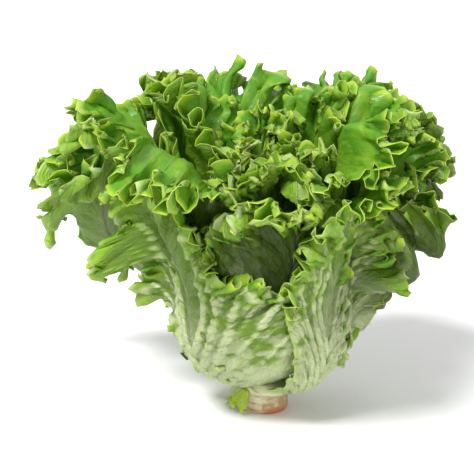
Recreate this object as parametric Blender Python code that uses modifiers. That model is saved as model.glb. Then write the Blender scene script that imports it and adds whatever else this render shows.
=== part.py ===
"""Head of green leaf lettuce, standing on its cut stem.

Every leaf is a waved blade that follows a layer of its own. The layers are nested bowls
round the upright axis, so neighbouring leaves lie close without touching. The leaves stand
round the stem by the golden angle, the outermost first.
Metres, +Z up, origin at the middle of the flat cut. -Y is the front, and a facing is the
angle round the axis in degrees, 0 at the front and +90 towards +X.
"""

import bmesh
import bpy
import numpy as np
from mathutils import Vector

MM = 0.001

# The stem, from its cut foot to the dome that the heart leaves stand on.
CUT_RADIUS = 16.6 * MM
WAIST_RADIUS = 18.4 * MM
WAIST_HEIGHT = 9.0 * MM
STEM_SIDES = 28
STEM_GAP = 0.9 * MM

# The stub of a torn leaf that hangs at the left of the cut.
STUB_FACING = -66.0
STUB_TURN = 34.0
STUB_TOP = 17.0 * MM
STUB_BOTTOM = 1.4 * MM
STUB_REACH = 8.0 * MM
STUB_THICKNESS = 1.5 * MM

# Where a layer leaves the stem (radius, height), at the heart and at the outside.
HEART_ROOT = (4.5 * MM, 47.0 * MM)
OUTER_ROOT = (19.5 * MM, 21.0 * MM)

# How the leaves are set round the stem. A layer counts from 0 at the heart to 1 outside.
LEAF_COUNT = 18
GOLDEN_ANGLE = 137.508
FIRST_FACING = 50.0
OUTER_LAYER = 0.96
HEART_LAYER = 0.08
LAYER_STEP = (OUTER_LAYER - HEART_LAYER) / (LEAF_COUNT - 1)
LAYER_TILT = -LAYER_STEP / GOLDEN_ANGLE
HALF_BAND = 0.5 * 2.618 * LAYER_STEP
WIDEST_TURN = 64.0
SKEW_RUN = (40.0 * MM, 150.0 * MM)

# How far a layer leans outwards from upright, in degrees, at the heart and at the outside.
# It turns from foot to wall, from wall to blade and from blade to rim over these runs.
FOOT_LEAN = (6.0, 80.0)
WALL_LEAN = (-3.0, 3.0)
BLADE_LEAN = (-6.0, 27.0)
RIM_LEAN = (24.0, 112.0)
WALL_RUN = (0.0, 84.0 * MM)
BLADE_RUN = (72.0 * MM, 132.0 * MM)
RIM_RUN = (158.0 * MM, 206.0 * MM)

# Where the outer layers lean more or less than that: facing, reach to both sides, and the
# degrees added to the wall, the blade and the rim.
SIDE_LEANS = (
    (-122.0, 44.0, 132.0, 70.0, 34.0),
    (114.0, 46.0, 116.0, -26.0, 22.0),
    (180.0, 80.0, -2.0, -7.0, 0.0),
    (55.0, 55.0, -23.0, -8.0, 0.0),
)

# The curl of the middle layers' tops towards the front: facing, reach and degrees, and the
# run that it grows over.
FRONT_CURL = (-8.0, 80.0, 54.0)
FRONT_CURL_RUN = (113.0 * MM, 158.0 * MM)

# Sizes of the blades, at the heart and at the outside.
HEART_LENGTH = 150.0 * MM
OUTER_LENGTH = 222.0 * MM
HEART_HALF_WIDTH = 36.0 * MM
OUTER_HALF_WIDTH = 88.0 * MM
FOOT_HALF_WIDTH = 23.0 * MM
WIDEST_AT = 0.60
RIB_END = 0.84

# The waves along the edge of a blade.
WAVE_LENGTH = 31.0 * MM
WAVE_SHARE = 0.82
WAVE_DRIFT = 1.1
OVERHANG = 0.32
LOBE = 0.06
CREST_CURL = 7.0 * MM

# Thickness of a blade, and of the rib at the foot of the leaf.
BLADE_THICKNESS = 0.95 * MM
OUTER_RIB_THICKNESS = 2.9 * MM
HEART_RIB_THICKNESS = 1.7 * MM
RIB_HALF_WIDTH = 13.0 * MM

# The mesh of a blade: columns along its edge, and rows from the rib outwards, each as its
# share of the way out and the number of columns that share a point there.
EDGE_COLUMNS = 72
ROWS = ((0.0, 9), (0.16, 9), (0.44, 3), (0.68, 3), (0.86, 1), (1.0, 1))

# The top of the head stands this far in front of its foot.
NOD = 10.0 * MM

# Slow bends of the whole head: (length, size, direction, way that the bend runs, start).
BENDS = (
    (150 * MM, 7.0 * MM, (1.0, 0.3, 0.1), (0.2, 0.9, 0.5), 0.6),
    (130 * MM, 5.0 * MM, (-0.4, 1.0, 0.0), (0.9, 0.2, -0.5), 2.1),
    (95 * MM, 3.5 * MM, (0.1, -0.2, 1.0), (0.7, -0.7, 0.1), 4.0),
    (62 * MM, 1.8 * MM, (0.8, 0.6, 0.0), (-0.3, 0.5, 0.9), 1.3),
    (54 * MM, 1.4 * MM, (-0.6, 0.8, 0.2), (0.6, 0.6, 0.5), 5.2),
)

# Folds shared by neighbouring leaves: (folds round the head, size, drift from layer to
# layer, start, layer where they are strongest).
FOLDS = (
    (11, 0.064, 3.5, 0.4, 0.9),
    (7, 0.040, -3.5, 2.0, 0.5),
    (17, 0.026, -5.0, 5.0, 0.8),
)
FOLD_WIDTH = 0.5
FOLD_CLIMB = 40.0 * MM
FOLD_RUN = (75.0 * MM, 165.0 * MM)

# What sets single leaves apart from the rule, as the head shows from its front: turn in
# degrees, length and width times the rule's, the right half's width times the left's, the
# share of the length that stays narrow, skew, the degrees by which the upper blade stands
# aside from its foot, and dips in the edge (side, spread, and depth as a share of the way
# in to the rib).
ODD_LEAVES = {
    0: {
        "turn": -12.0, "length": 0.95, "width": 0.64, "neck": 0.10, "skew": 4.0,
        "dips": ((-0.62, 0.30, 0.50),),
    },
    1: {"turn": -8.0, "width": 0.74, "neck": 0.18},
    2: {
        "turn": -17.0, "length": 0.84, "width": 0.82, "right": 1.52, "skew": -10.0,
        "dips": ((0.29, 0.20, 0.50), (-0.58, 0.27, 0.35)),
    },
    3: {"turn": 20.0, "length": 0.94, "width": 0.80, "neck": 0.10},
    4: {"turn": 8.0, "length": 0.96, "width": 0.85, "neck": 0.16},
    5: {"turn": -10.0, "length": 0.77, "width": 0.74},
    6: {"length": 1.16, "dips": ((0.30, 0.25, 0.12),)},
    7: {"turn": -3.0, "length": 1.07},
    8: {"turn": -3.0, "length": 1.02, "width": 0.88},
    9: {"turn": 2.0, "width": 1.06, "right": 1.14},
    10: {"turn": 1.0, "length": 0.78, "width": 0.90},
    11: {"turn": 2.0, "length": 0.98},
    12: {"length": 1.04, "width": 1.12},
    13: {"length": 0.84},
    15: {"length": 0.90},
}

GREEN = (0.10, 0.30, 0.025)
PALE_GREEN = (0.42, 0.56, 0.20)
CUT_BROWN = (0.62, 0.47, 0.30)


def smooth(x):
    x = np.clip(x, 0.0, 1.0)
    return x * x * (3.0 - 2.0 * x)


def between(low, high, share):
    return low + (high - low) * share


def passed(run, stretch):
    """0 before a stretch of the run, rising to 1 past it."""
    return smooth((run - stretch[0]) / (stretch[1] - stretch[0]))


def near(facing, centre, reach):
    """1 at that facing, falling to 0 at reach degrees away from it."""
    away = np.abs((facing - centre + 180.0) % 360.0 - 180.0)
    return smooth(1.0 - away / reach)


def lean(layer, facing, run):
    """How far a layer leans outwards from upright, run metres up from the stem."""
    layer = np.maximum(layer, 0.0)
    foot = between(*FOOT_LEAN, layer**0.8)
    wall = between(*WALL_LEAN, layer)
    blade = between(*BLADE_LEAN, layer)
    rim = between(*RIM_LEAN, layer**1.3)
    for centre, reach, more_wall, more_blade, more_rim in SIDE_LEANS:
        share = near(facing, centre, reach) * layer**4.4
        wall = wall + more_wall * share
        blade = blade + more_blade * share
        rim = rim + more_rim * share
    angle = between(foot, wall, passed(run, WALL_RUN))
    angle = between(angle, blade, passed(run, BLADE_RUN))
    angle = between(angle, rim, passed(run, RIM_RUN))
    centre, reach, curl = FRONT_CURL
    curl = curl * near(facing, centre, reach) * np.maximum(4.0 * layer * (1.0 - layer), 0.0)
    return np.radians(angle + curl * passed(run, FRONT_CURL_RUN))


def profile(layer, facing, run, steps=40):
    """Radius and height of a layer, run metres along it from the stem."""
    radius = between(HEART_ROOT[0], OUTER_ROOT[0], layer)
    height = between(HEART_ROOT[1], OUTER_ROOT[1], layer)
    step = run / steps
    for i in range(steps):
        angle = lean(layer, facing, step * (i + 0.5))
        radius = radius + np.sin(angle) * step
        height = height + np.cos(angle) * step
    return radius, height


def ripple(layer, facing, run):
    """Folds that neighbouring leaves share, as a shift of the layer."""
    shift = 0.0
    for folds, size, drift, start, centre in FOLDS:
        inside = np.exp(-(((layer - centre) / FOLD_WIDTH) ** 2))
        phase = np.radians(folds * facing) + drift * layer + start + run / FOLD_CLIMB
        shift = shift + size * inside * np.sin(phase)
    return shift * passed(run, FOLD_RUN)


def bend(points):
    """The slow bends of the head, none of them near the stem."""
    free = smooth((points[:, 2:3] - 25.0 * MM) / (110.0 * MM))
    moved = points - free * NOD * np.array((0.0, 1.0, 0.0))
    for length, size, direction, way, start in BENDS:
        way = np.array(way) / np.linalg.norm(way)
        wave = np.sin(2.0 * np.pi * (points @ way) / length + start)
        moved += free * size * wave[:, None] * np.array(direction)
    return moved


def outline(length, half_width, neck, side):
    """Flat outline of a blade: side runs from -1 at the left foot over 0 at the tip to 1."""
    along = 0.5 + 0.5 * np.cos(np.linspace(0.0, np.pi, 241))
    grown = smooth((along - neck) / (WIDEST_AT - neck)) ** 0.6
    swell = between(FOOT_HALF_WIDTH, half_width, grown)
    top = np.sqrt(np.clip(1.0 - ((along - WIDEST_AT) / (1.0 - WIDEST_AT)) ** 2, 0.0, 1.0))
    across = np.where(along > WIDEST_AT, half_width * top, swell)
    along = along * length
    walked = np.concatenate([[0.0], np.cumsum(np.hypot(np.diff(across), np.diff(along)))])
    share = np.abs(side) * walked[-1]
    edge_x = np.interp(share, walked, across) * np.sign(side)
    edge_y = np.interp(share, walked, along)
    return edge_x, edge_y, 2.0 * walked[-1]


class Leaf:
    """One leaf of the head, by its place in the arrangement."""

    def __init__(self, index):
        odd = ODD_LEAVES.get(index, {})
        self.layer = OUTER_LAYER - index * LAYER_STEP
        self.facing = FIRST_FACING + GOLDEN_ANGLE * index + odd.get("turn", 0.0)
        size = smooth(self.layer / 0.55)
        self.length = between(HEART_LENGTH, OUTER_LENGTH, size) * odd.get("length", 1.0)
        self.half_width = between(HEART_HALF_WIDTH, OUTER_HALF_WIDTH, size) * odd.get("width", 1.0)
        self.neck = odd.get("neck", 0.0)
        self.right = odd.get("right", 1.0)
        self.skew = odd.get("skew", 0.0)
        self.dips = odd.get("dips", ())
        self.waves = max(5, round(self.edge(np.zeros(1))[2] / WAVE_LENGTH))
        self.starts = np.random.default_rng(2100 + index).uniform(0.0, 2.0 * np.pi, 8)

    def edge(self, side):
        return outline(self.length, self.half_width, self.neck, side)

    def phase(self, side):
        """Where each point of the edge is in its waves."""
        phase = np.pi * self.waves * side + self.starts[0]
        for turns, start in zip((2.3, 3.7, 5.9), self.starts[1:4]):
            phase = phase + WAVE_DRIFT / turns * 2.0 * np.sin(turns * side + start)
        return phase

    def surface(self, side, out):
        """Points of the blade's upper face, from rib (out 0) to edge (out 1)."""
        phase = self.phase(side)
        free = smooth((1.02 - np.abs(side)) / 0.42)
        waved = smooth((out - 0.15) / 0.75) * free
        strength = 0.78 + 0.22 * np.sin(4.1 * side + self.starts[4])
        slide = OVERHANG * np.sin(2.0 * phase) * waved / (np.pi * self.waves)
        edge_x, edge_y, _ = self.edge(np.clip(side + slide, -1.0, 1.0))
        lobe = 1.0 + LOBE * waved * np.sin(phase + self.starts[5])
        root_y = RIB_END * self.length * (1.0 - np.abs(side)) ** 1.7
        kept = 1.0
        for centre, spread, depth in self.dips:
            kept = kept - depth * np.exp(-(((side - centre) / spread) ** 2))
        share = np.where(side > 0.0, self.right, 1.0)
        flat_x = share * edge_x * (out * kept) ** 1.15 * lobe
        flat_y = root_y + (edge_y - root_y) * (out * kept) ** 0.9 * lobe
        flat_y = flat_y - CREST_CURL * free * out**5 * np.cos(phase) ** 2
        flat_y = np.maximum(flat_y, 0.0)
        radius, _ = profile(self.layer, self.facing, flat_y)
        turn = np.degrees(flat_x / radius) + self.skew * passed(flat_y, SKEW_RUN)
        turn = turn / (1.0 + (turn / (share * WIDEST_TURN)) ** 4) ** 0.25
        wave = -np.cos(phase) * waved * strength * WAVE_SHARE
        facing = self.facing + turn
        layer = self.layer + LAYER_TILT * turn + HALF_BAND * wave
        layer = layer + ripple(layer, facing, flat_y)
        radius, height = profile(layer, facing, flat_y)
        angle = np.radians(facing - 90.0)
        points = np.stack([radius * np.cos(angle), radius * np.sin(angle), height], axis=1)
        return bend(points), flat_x, flat_y

    def thickness(self, flat_x, flat_y):
        """Thick and wide at the foot of the rib, thin at the edge."""
        along = np.clip(flat_y / (self.length * 0.9), 0.0, 1.0)
        rib = between(HEART_RIB_THICKNESS, OUTER_RIB_THICKNESS, smooth(self.layer)) * (1.0 - along) ** 0.8
        width = RIB_HALF_WIDTH * (1.0 - 0.8 * along)
        return BLADE_THICKNESS + rib * np.exp(-((flat_x / width) ** 2))


def material(name, colour, roughness):
    """A plain finish for one kind of piece."""
    made = bpy.data.materials.new(name)
    made.use_nodes = True
    shader = made.node_tree.nodes["Principled BSDF"]
    shader.inputs["Base Color"].default_value = (*colour, 1.0)
    shader.inputs["Roughness"].default_value = roughness
    return made


def blade_grid():
    """A flat grid of columns and rows, with the columns drawn together towards the rib."""
    grid = bmesh.new()
    bmesh.ops.create_grid(grid, x_segments=EDGE_COLUMNS, y_segments=len(ROWS) - 1, size=1.0)
    side = np.empty(len(grid.verts))
    out = np.empty(len(grid.verts))
    half = EDGE_COLUMNS // 2
    for i, vert in enumerate(grid.verts):
        row = round((vert.co.y + 1.0) / 2.0 * (len(ROWS) - 1))
        column = round(vert.co.x * half)
        out[i], shared = ROWS[row]
        steps = int((abs(column) + shared / 2.0 - 0.01) // shared)
        side[i] = np.sign(column) * min(1.0, steps * shared / half)
    return grid, side, out


def add_blade(name, grid, points, thick, collection, finish):
    """A closed blade from a grid, its points and their thickness."""
    share = grid.verts.layers.float.new("share")
    for vert, point, amount in zip(grid.verts, points, thick / thick.max()):
        vert.co = Vector(point)
        vert[share] = amount
    bmesh.ops.remove_doubles(grid, verts=grid.verts, dist=0.02 * MM)
    bmesh.ops.triangulate(grid, faces=grid.faces, quad_method="SHORT_EDGE")
    mesh = bpy.data.meshes.new(name)
    grid.to_mesh(mesh)
    grid.free()
    obj = bpy.data.objects.new(name, mesh)
    collection.objects.link(obj)
    obj.data.materials.append(finish)
    group = obj.vertex_groups.new(name="thickness")
    for i, value in enumerate(mesh.attributes["share"].data):
        group.add([i], value.value, "REPLACE")
    solid = obj.modifiers.new("Thickness", "SOLIDIFY")
    solid.thickness = thick.max()
    solid.offset = 1.0
    solid.vertex_group = group.name
    return obj


def add_leaf(index, collection, finish):
    leaf = Leaf(index)
    grid, side, out = blade_grid()
    points, flat_x, flat_y = leaf.surface(side, out)
    thick = leaf.thickness(flat_x, flat_y)
    return add_blade(f"leaf_{index + 1:02d}", grid, points, thick, collection, finish)


def add_torn_base(collection, finish):
    """The torn stub of a lost leaf, an apron round part of the stem with a ragged hem."""
    grid = bmesh.new()
    bmesh.ops.create_grid(grid, x_segments=12, y_segments=4, size=1.0)
    across = np.array([vert.co.x for vert in grid.verts])
    down = np.array([0.5 - 0.5 * vert.co.y for vert in grid.verts])
    ragged = 1.0 - 0.22 * down * (1.0 + np.sin(9.0 * across + 1.0) * np.cos(4.0 * across))
    height = between(STUB_TOP, STUB_BOTTOM, down * ragged)
    bulge = 0.6 * np.sin(7.0 * across + 2.0 * down) * MM * down
    radius = WAIST_RADIUS + 0.6 * MM + STUB_REACH * down**0.7 * (1.0 - 0.5 * across**2) + bulge
    angle = np.radians(STUB_FACING + STUB_TURN * across - 90.0)
    points = np.stack([radius * np.cos(angle), radius * np.sin(angle), height], axis=1)
    thick = np.full(len(points), STUB_THICKNESS)
    return add_blade("torn_leaf_base", grid, points, thick, collection, finish)


def stem_outline():
    """Outer side of the stem from the top down, as (radius, height)."""
    rows = [(0.4 * MM, HEART_ROOT[1] - 0.5 * MM)]
    for layer in np.linspace(0.0, 1.0, 7):
        radius = between(HEART_ROOT[0], OUTER_ROOT[0], layer) - STEM_GAP
        height = between(HEART_ROOT[1], OUTER_ROOT[1], layer) - STEM_GAP
        rows.append((radius, height))
    rows += [(WAIST_RADIUS - 0.2 * MM, 15.0 * MM), (WAIST_RADIUS, WAIST_HEIGHT)]
    rows += [(CUT_RADIUS + 0.3 * MM, 1.6 * MM), (CUT_RADIUS - 0.8 * MM, 0.0)]
    return rows


def add_stem(collection, finish):
    rows = [(0.0, HEART_ROOT[1] - 0.5 * MM), *stem_outline(), (0.0, 0.0)]
    mesh = bpy.data.meshes.new("stem")
    edges = [(i, i + 1) for i in range(len(rows) - 1)]
    mesh.from_pydata([(radius, 0.0, height) for radius, height in rows], edges, [])
    obj = bpy.data.objects.new("stem", mesh)
    collection.objects.link(obj)
    obj.data.materials.append(finish)
    screw = obj.modifiers.new("Turn", "SCREW")
    screw.steps = screw.render_steps = STEM_SIDES
    screw.use_merge_vertices = True
    screw.merge_threshold = 0.01 * MM
    return obj


def main():
    for obj in list(bpy.data.objects):
        bpy.data.objects.remove(obj)
    head = bpy.data.collections.new("green_leaf_lettuce")
    bpy.context.scene.collection.children.link(head)
    leaf_green = material("leaf_green", GREEN, 0.42)
    add_stem(head, material("stem_pale", CUT_BROWN, 0.6))
    add_torn_base(head, material("torn_pale", PALE_GREEN, 0.5))
    for index in range(LEAF_COUNT):
        add_leaf(index, head, leaf_green)


if __name__ == "__main__":
    main()
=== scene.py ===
"""Dresses the head of green leaf lettuce: finer leaves, stem and torn leaf base, floor and light.

Each leaf repeats the blade of its CAD node, with the same layers, folds and waves, and adds
what is too fine for the solids: smaller waves, teeth, puckers, veins and colour.
Metres, +Z up, -Y is the front. A facing is the angle round the axis in degrees, 0 at the
front and +90 towards +X.
"""

import math

import bpy
import numpy as np
from bpy.props import FloatProperty, FloatVectorProperty, IntProperty, PointerProperty
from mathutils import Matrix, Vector


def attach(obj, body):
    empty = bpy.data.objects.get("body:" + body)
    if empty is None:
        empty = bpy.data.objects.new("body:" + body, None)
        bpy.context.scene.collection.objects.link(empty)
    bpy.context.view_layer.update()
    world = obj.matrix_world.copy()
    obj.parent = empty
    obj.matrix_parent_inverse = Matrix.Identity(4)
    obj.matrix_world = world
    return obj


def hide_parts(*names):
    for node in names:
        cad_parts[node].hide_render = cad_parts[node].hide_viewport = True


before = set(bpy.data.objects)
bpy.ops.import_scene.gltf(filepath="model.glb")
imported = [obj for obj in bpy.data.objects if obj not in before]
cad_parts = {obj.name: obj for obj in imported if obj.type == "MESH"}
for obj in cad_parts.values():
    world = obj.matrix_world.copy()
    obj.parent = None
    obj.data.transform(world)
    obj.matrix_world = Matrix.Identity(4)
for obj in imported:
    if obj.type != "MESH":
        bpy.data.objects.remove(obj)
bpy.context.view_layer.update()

bl_info = {
    "name": "Green Leaf Lettuce",
    "version": (1, 0, 0),
    "blender": (4, 5, 0),
    "location": "View3D > Sidebar > Lettuce",
    "description": "Builds a head of green leaf lettuce leaf by leaf",
    "category": "Add Mesh",
}

MM = 0.001
BODY = "root"
MERGE_DISTANCE = 0.01 * MM

# Down to the odd leaves, the head's form is that of the solids. First, stem and torn stub.
CUT_RADIUS = 16.6 * MM
WAIST_RADIUS = 18.4 * MM
WAIST_HEIGHT = 9.0 * MM
STEM_GAP = 0.9 * MM
STUB_FACING = -66.0
STUB_TURN = 34.0
STUB_TOP = 17.0 * MM
STUB_BOTTOM = 1.4 * MM
STUB_REACH = 8.0 * MM

# Where a layer leaves the stem (radius, height), at the heart and at the outside.
HEART_ROOT = (4.5 * MM, 47.0 * MM)
OUTER_ROOT = (19.5 * MM, 21.0 * MM)

# How the leaves are set round the stem. A layer counts from 0 at the heart to 1 outside.
LEAF_COUNT = 18
GOLDEN_ANGLE = 137.508
FIRST_FACING = 50.0
OUTER_LAYER = 0.96
HEART_LAYER = 0.08
LAYER_STEP = (OUTER_LAYER - HEART_LAYER) / (LEAF_COUNT - 1)
LAYER_TILT = -LAYER_STEP / GOLDEN_ANGLE
HALF_BAND = 0.5 * 2.618 * LAYER_STEP
WIDEST_TURN = 64.0
SKEW_RUN = (40.0 * MM, 150.0 * MM)

# Degrees that a layer leans outwards, at the heart and at the outside, and the runs over
# which it turns from foot to wall, to blade and to rim.
FOOT_LEAN = (6.0, 80.0)
WALL_LEAN = (-3.0, 3.0)
BLADE_LEAN = (-6.0, 27.0)
RIM_LEAN = (24.0, 112.0)
WALL_RUN = (0.0, 84.0 * MM)
BLADE_RUN = (72.0 * MM, 132.0 * MM)
RIM_RUN = (158.0 * MM, 206.0 * MM)

# Where the outer layers lean otherwise: facing, reach, and degrees for wall, blade and rim.
SIDE_LEANS = (
    (-122.0, 44.0, 132.0, 70.0, 34.0),
    (114.0, 46.0, 116.0, -26.0, 22.0),
    (180.0, 80.0, -2.0, -7.0, 0.0),
    (55.0, 55.0, -23.0, -8.0, 0.0),
)

# The curl of the middle layers' tops at the front: facing, reach, degrees, and its run.
FRONT_CURL = (-8.0, 80.0, 54.0)
FRONT_CURL_RUN = (113.0 * MM, 158.0 * MM)

# Sizes of the blades, at the heart and at the outside.
HEART_LENGTH = 150.0 * MM
OUTER_LENGTH = 222.0 * MM
HEART_HALF_WIDTH = 36.0 * MM
OUTER_HALF_WIDTH = 88.0 * MM
FOOT_HALF_WIDTH = 23.0 * MM
RIB_HALF_WIDTH = 13.0 * MM
WIDEST_AT = 0.60
RIB_END = 0.84

# The waves along the edge of a blade.
WAVE_LENGTH = 31.0 * MM
WAVE_SHARE = 0.82
WAVE_DRIFT = 1.1
OVERHANG = 0.32
LOBE = 0.06
CREST_CURL = 7.0 * MM

# The top of the head stands this far in front of its foot.
NOD = 10.0 * MM

# Slow bends of the whole head: (length, size, direction, way that the bend runs, start).
BENDS = (
    (150 * MM, 7.0 * MM, (1.0, 0.3, 0.1), (0.2, 0.9, 0.5), 0.6),
    (130 * MM, 5.0 * MM, (-0.4, 1.0, 0.0), (0.9, 0.2, -0.5), 2.1),
    (95 * MM, 3.5 * MM, (0.1, -0.2, 1.0), (0.7, -0.7, 0.1), 4.0),
    (62 * MM, 1.8 * MM, (0.8, 0.6, 0.0), (-0.3, 0.5, 0.9), 1.3),
    (54 * MM, 1.4 * MM, (-0.6, 0.8, 0.2), (0.6, 0.6, 0.5), 5.2),
)

# Folds shared by neighbouring leaves: (folds round the head, size, drift from layer to
# layer, start, layer where they are strongest).
FOLDS = (
    (11, 0.064, 3.5, 0.4, 0.9),
    (7, 0.040, -3.5, 2.0, 0.5),
    (17, 0.026, -5.0, 5.0, 0.8),
)
FOLD_WIDTH = 0.5
FOLD_CLIMB = 40.0 * MM
FOLD_RUN = (75.0 * MM, 165.0 * MM)

# What sets single leaves apart: turn in degrees, length and width times the rule's, the
# right half's width times the left's, the share of the length that stays narrow (neck),
# the degrees by which the upper blade stands aside (skew), and dips in the edge (side,
# spread, and depth as a share of the way in).
ODD_LEAVES = {
    0: {
        "turn": -12.0, "length": 0.95, "width": 0.64, "neck": 0.10, "skew": 4.0,
        "dips": ((-0.62, 0.30, 0.50),),
    },
    1: {"turn": -8.0, "width": 0.74, "neck": 0.18},
    2: {
        "turn": -17.0, "length": 0.84, "width": 0.82, "right": 1.52, "skew": -10.0,
        "dips": ((0.29, 0.20, 0.50), (-0.58, 0.27, 0.35)),
    },
    3: {"turn": 20.0, "length": 0.94, "width": 0.80, "neck": 0.10},
    4: {"turn": 8.0, "length": 0.96, "width": 0.85, "neck": 0.16},
    5: {"turn": -10.0, "length": 0.77, "width": 0.74},
    6: {"length": 1.16, "dips": ((0.30, 0.25, 0.12),)},
    7: {"turn": -3.0, "length": 1.07},
    8: {"turn": -3.0, "length": 1.02, "width": 0.88},
    9: {"turn": 2.0, "width": 1.06, "right": 1.14},
    10: {"turn": 1.0, "length": 0.78, "width": 0.90},
    11: {"turn": 2.0, "length": 0.98},
    12: {"length": 1.04, "width": 1.12},
    13: {"length": 0.84},
    15: {"length": 0.90},
}

# Finer waves along the edge: length, height, and how far in they reach.
BILLOW = (29.0 * MM, 2.4 * MM, 80.0 * MM)
SMALL_WAVE = (16.0 * MM, 7.6 * MM, 28.0 * MM)
CRINKLE = (9.0 * MM, 2.4 * MM, 15.0 * MM)

# Teeth and notches in the edge, and a pucker's size up the leaf and across it.
TOOTH_LENGTH = 7.2 * MM
TOOTH_DEPTH = 1.6 * MM
NOTCH_LENGTH = 21.0 * MM
NOTCH_DEPTH = 6.0 * MM
PUCKER = (6.6 * MM, 23.0 * MM)

# Where side veins end (0 at the tip, 1 at the foot), and half their width at rib and edge.
SIDE_VEINS = (0.12, 0.25, 0.38, 0.51, 0.63, 0.74, 0.84, 0.92)
VEIN_HALF_WIDTH = (2.7 * MM, 0.9 * MM)

# A blade's grid: how evenly its columns spread over the edge, how strongly its rows close
# up there, and how far out the edge is measured.
EVENNESS = 0.75
ROW_POWER = 1.45
MEASURED_OUT = 0.94

# The first leaf of the inner kind.
INNER_FROM = 9

# Leaves whose edge reaches further, as a share of the way out, or with a seed of their own.
WIDER_EDGES = {7: 0.03, 9: 0.07}
ODD_SEEDS = {7: 900}

# Facing and reach of the calm foot, of the hollow (up to its top) and the side away from the light,
# which get painted shade, and of the long ridges.
CALM = (24.0, 60.0)
HOLLOW = (-4.0, 62.0)
HOLLOW_TOP = 152.0 * MM
SHADED = (105.0, 70.0)
RIBBED = (-62.0, 48.0)

# The collar of the stem under the bowl, the pinch in its waist, and the rings of scars.
COLLAR = (12.0, 60.0)
COLLAR_REACH = 13.0 * MM
COLLAR_START = 10.5 * MM
COLLAR_END = 28.5 * MM
PINCH_DEPTH = 0.9 * MM
PINCH_HEIGHT = 8.0 * MM
SCAR_SPACING = 6.2 * MM

# The unit of a blade's chart, and how many cells of each net of veins go to it.
CHART_UNIT = 10.0 * MM
NET_SCALE = 1.6
FINE_NET_SCALE = 4.2

# Lamps: the side of the head that they shine from, strength, and spread in degrees.
LAMPS = {
    "key_light": ((-0.45, -0.55, 1.05), 4.0, 18.0),
    "back_light": ((0.35, 0.75, 0.9), 0.8, 40.0),
    "fill_light": ((0.42, -0.85, 0.32), 0.75, 40.0),
}
SKY_STRENGTH = 0.55

# The camera's lens, and the middle of its view: to the right, and up across the view.
LENS = 85.0
SENSOR_WIDTH = 36.0
VIEW_RIGHT = -0.019
VIEW_UP = 0.119


def smooth(x):
    x = np.clip(x, 0.0, 1.0)
    return x * x * (3.0 - 2.0 * x)


def between(low, high, share):
    return low + (high - low) * share


def passed(run, stretch):
    """0 before a stretch of the run, rising to 1 past it."""
    return smooth((run - stretch[0]) / (stretch[1] - stretch[0]))


def near(facing, centre, reach):
    """1 at that facing, falling to 0 at reach degrees away from it."""
    away = np.abs((facing - centre + 180.0) % 360.0 - 180.0)
    return smooth(1.0 - away / reach)


def walk(steps):
    """How far one has walked before each step, and after the last."""
    return np.concatenate([[0.0], np.cumsum(steps)])


def round_axis(radius, facing, height):
    """Points at that facing, that far from the upright axis."""
    angle = np.radians(facing - 90.0)
    return np.stack([radius * np.cos(angle), radius * np.sin(angle), height], axis=1)


def lean(layer, facing, run):
    """How far a layer leans outwards from upright, run metres up from the stem."""
    layer = np.maximum(layer, 0.0)
    foot = between(*FOOT_LEAN, layer**0.8)
    wall = between(*WALL_LEAN, layer)
    blade = between(*BLADE_LEAN, layer)
    rim = between(*RIM_LEAN, layer**1.3)
    for centre, reach, more_wall, more_blade, more_rim in SIDE_LEANS:
        share = near(facing, centre, reach) * layer**4.4
        wall = wall + more_wall * share
        blade = blade + more_blade * share
        rim = rim + more_rim * share
    angle = between(foot, wall, passed(run, WALL_RUN))
    angle = between(angle, blade, passed(run, BLADE_RUN))
    angle = between(angle, rim, passed(run, RIM_RUN))
    centre, reach, curl = FRONT_CURL
    curl = curl * near(facing, centre, reach) * np.maximum(4.0 * layer * (1.0 - layer), 0.0)
    return np.radians(angle + curl * passed(run, FRONT_CURL_RUN))


def profile(layer, facing, run, steps=40):
    """Radius and height of a layer, run metres along it from the stem."""
    radius = between(HEART_ROOT[0], OUTER_ROOT[0], layer)
    height = between(HEART_ROOT[1], OUTER_ROOT[1], layer)
    step = run / steps
    for i in range(steps):
        angle = lean(layer, facing, step * (i + 0.5))
        radius = radius + np.sin(angle) * step
        height = height + np.cos(angle) * step
    return radius, height


def ripple(layer, facing, run):
    """Folds that neighbouring leaves share, as a shift of the layer."""
    shift = 0.0
    for folds, size, drift, start, centre in FOLDS:
        inside = np.exp(-(((layer - centre) / FOLD_WIDTH) ** 2))
        phase = np.radians(folds * facing) + drift * layer + start + run / FOLD_CLIMB
        shift = shift + size * inside * np.sin(phase)
    return shift * passed(run, FOLD_RUN)


def bend(points):
    """The slow bends of the head, none of them near the stem."""
    free = smooth((points[:, 2:3] - 25.0 * MM) / (110.0 * MM))
    moved = points - free * NOD * np.array((0.0, 1.0, 0.0))
    for length, size, direction, way, start in BENDS:
        way = np.array(way) / np.linalg.norm(way)
        wave = np.sin(2.0 * np.pi * (points @ way) / length + start)
        moved += free * size * wave[:, None] * np.array(direction)
    return moved


def outline(length, half_width, neck, side):
    """Flat outline of a blade: side runs from -1 at the left foot over 0 at the tip to 1."""
    along = 0.5 + 0.5 * np.cos(np.linspace(0.0, np.pi, 241))
    grown = smooth((along - neck) / (WIDEST_AT - neck)) ** 0.6
    swell = between(FOOT_HALF_WIDTH, half_width, grown)
    top = np.sqrt(np.clip(1.0 - ((along - WIDEST_AT) / (1.0 - WIDEST_AT)) ** 2, 0.0, 1.0))
    across = np.where(along > WIDEST_AT, half_width * top, swell)
    along = along * length
    walked = walk(np.hypot(np.diff(across), np.diff(along)))
    share = np.abs(side) * walked[-1]
    edge_x = np.interp(share, walked, across) * np.sign(side)
    edge_y = np.interp(share, walked, along)
    return edge_x, edge_y, 2.0 * walked[-1]


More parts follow.
